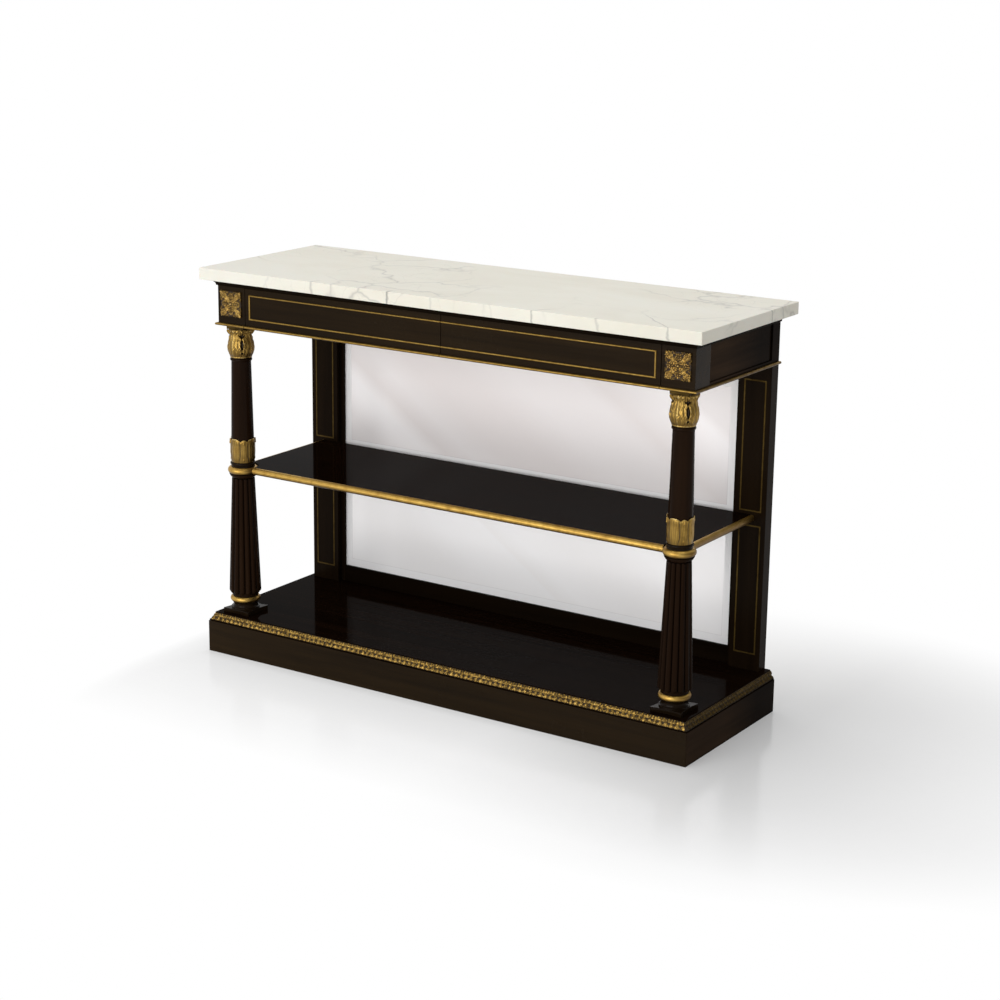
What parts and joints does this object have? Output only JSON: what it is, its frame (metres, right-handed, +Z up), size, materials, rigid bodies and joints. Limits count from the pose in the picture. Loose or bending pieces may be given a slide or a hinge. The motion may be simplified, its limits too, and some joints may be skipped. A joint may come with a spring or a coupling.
{
  "type": "pier table",
  "caption": "Marble-topped pier table with frieze drawers, turned and gilded columns, an open shelf, a mirrored back and a banded plinth.",
  "frame": {"origin": "on the floor, under the centre of the marble slab", "axes": "+X along the width, +Y towards the wall side (the front faces -Y), +Z up"},
  "size_m": [1.2192, 0.4064, 0.8636],
  "materials": {
    "ebonised_wood": "ebonised, polished to a high gloss",
    "gilt_wood": "water gilt over bole, worn",
    "gilt_bronze": "gilded casting",
    "marble": "polished white marble",
    "mirror_glass": "silvered and bevelled",
    "secondary_wood": "planed, unpolished",
    "steel": "plain, dulled"
  },
  "bodies": {
    "table": {"abacus_plates": "gilt_wood", "assembly_screws": "steel", "back_rail_bottom": "ebonised_wood", "back_rail_middle": "ebonised_wood", "back_rail_top": "ebonised_wood", "backing_boards": "secondary_wood", "base_band": "gilt_wood", "base_panel": "ebonised_wood", "base_torus_rings": "gilt_wood", "capital_left": "gilt_wood", "capital_right": "gilt_wood", "centre_partition": "secondary_wood", "column_base_left": "ebonised_wood", "column_base_right": "ebonised_wood", "column_tie_rods": "steel", "corner_block_left": "ebonised_wood", "corner_block_right": "ebonised_wood", "corner_ornament_left": "gilt_bronze", "corner_ornament_right": "gilt_bronze", "cove_moulding": "ebonised_wood", "drawer_runners": "secondary_wood", "frieze_back": "secondary_wood", "frieze_moulding": "gilt_wood", "lotus_collar_left": "gilt_wood", "lotus_collar_right": "gilt_wood", "lower_shaft_left": "ebonised_wood", "lower_shaft_right": "ebonised_wood", "marble_top": "marble", "mid_drums": "ebonised_wood", "mid_torus_rings": "gilt_wood", "mirror_lower": "mirror_glass", "mirror_upper": "mirror_glass", "pilaster_left": "ebonised_wood", "pilaster_right": "ebonised_wood", "pilaster_stringing": "gilt_wood", "plinth_back": "ebonised_wood", "plinth_front": "ebonised_wood", "plinth_glue_blocks": "secondary_wood", "plinth_left": "ebonised_wood", "plinth_right": "ebonised_wood", "rear_block_left": "ebonised_wood", "rear_block_right": "ebonised_wood", "shelf_board": "ebonised_wood", "shelf_dowels": "secondary_wood", "shelf_nosing": "gilt_wood", "side_panel_left": "ebonised_wood", "side_panel_right": "ebonised_wood", "sub_top": "secondary_wood", "upper_shaft_left": "ebonised_wood", "upper_shaft_right": "ebonised_wood"},
    "drawer_left": {"drawer_left_bead": "gilt_wood", "drawer_left_bottom": "secondary_wood", "drawer_left_box": "secondary_wood", "drawer_left_front": "ebonised_wood", "drawer_left_moulding": "gilt_wood"},
    "drawer_right": {"drawer_right_bead": "gilt_wood", "drawer_right_bottom": "secondary_wood", "drawer_right_box": "secondary_wood", "drawer_right_front": "ebonised_wood", "drawer_right_moulding": "gilt_wood"}
  },
  "joints": [
    {"name": "drawer_left_slide", "type": "slide", "parent": "table", "child": "drawer_left", "axis": [0, -1, 0], "range_m": [0, 0.22]},
    {"name": "drawer_right_slide", "type": "slide", "parent": "table", "child": "drawer_right", "axis": [0, -1, 0], "range_m": [0, 0.22]}
  ]
}
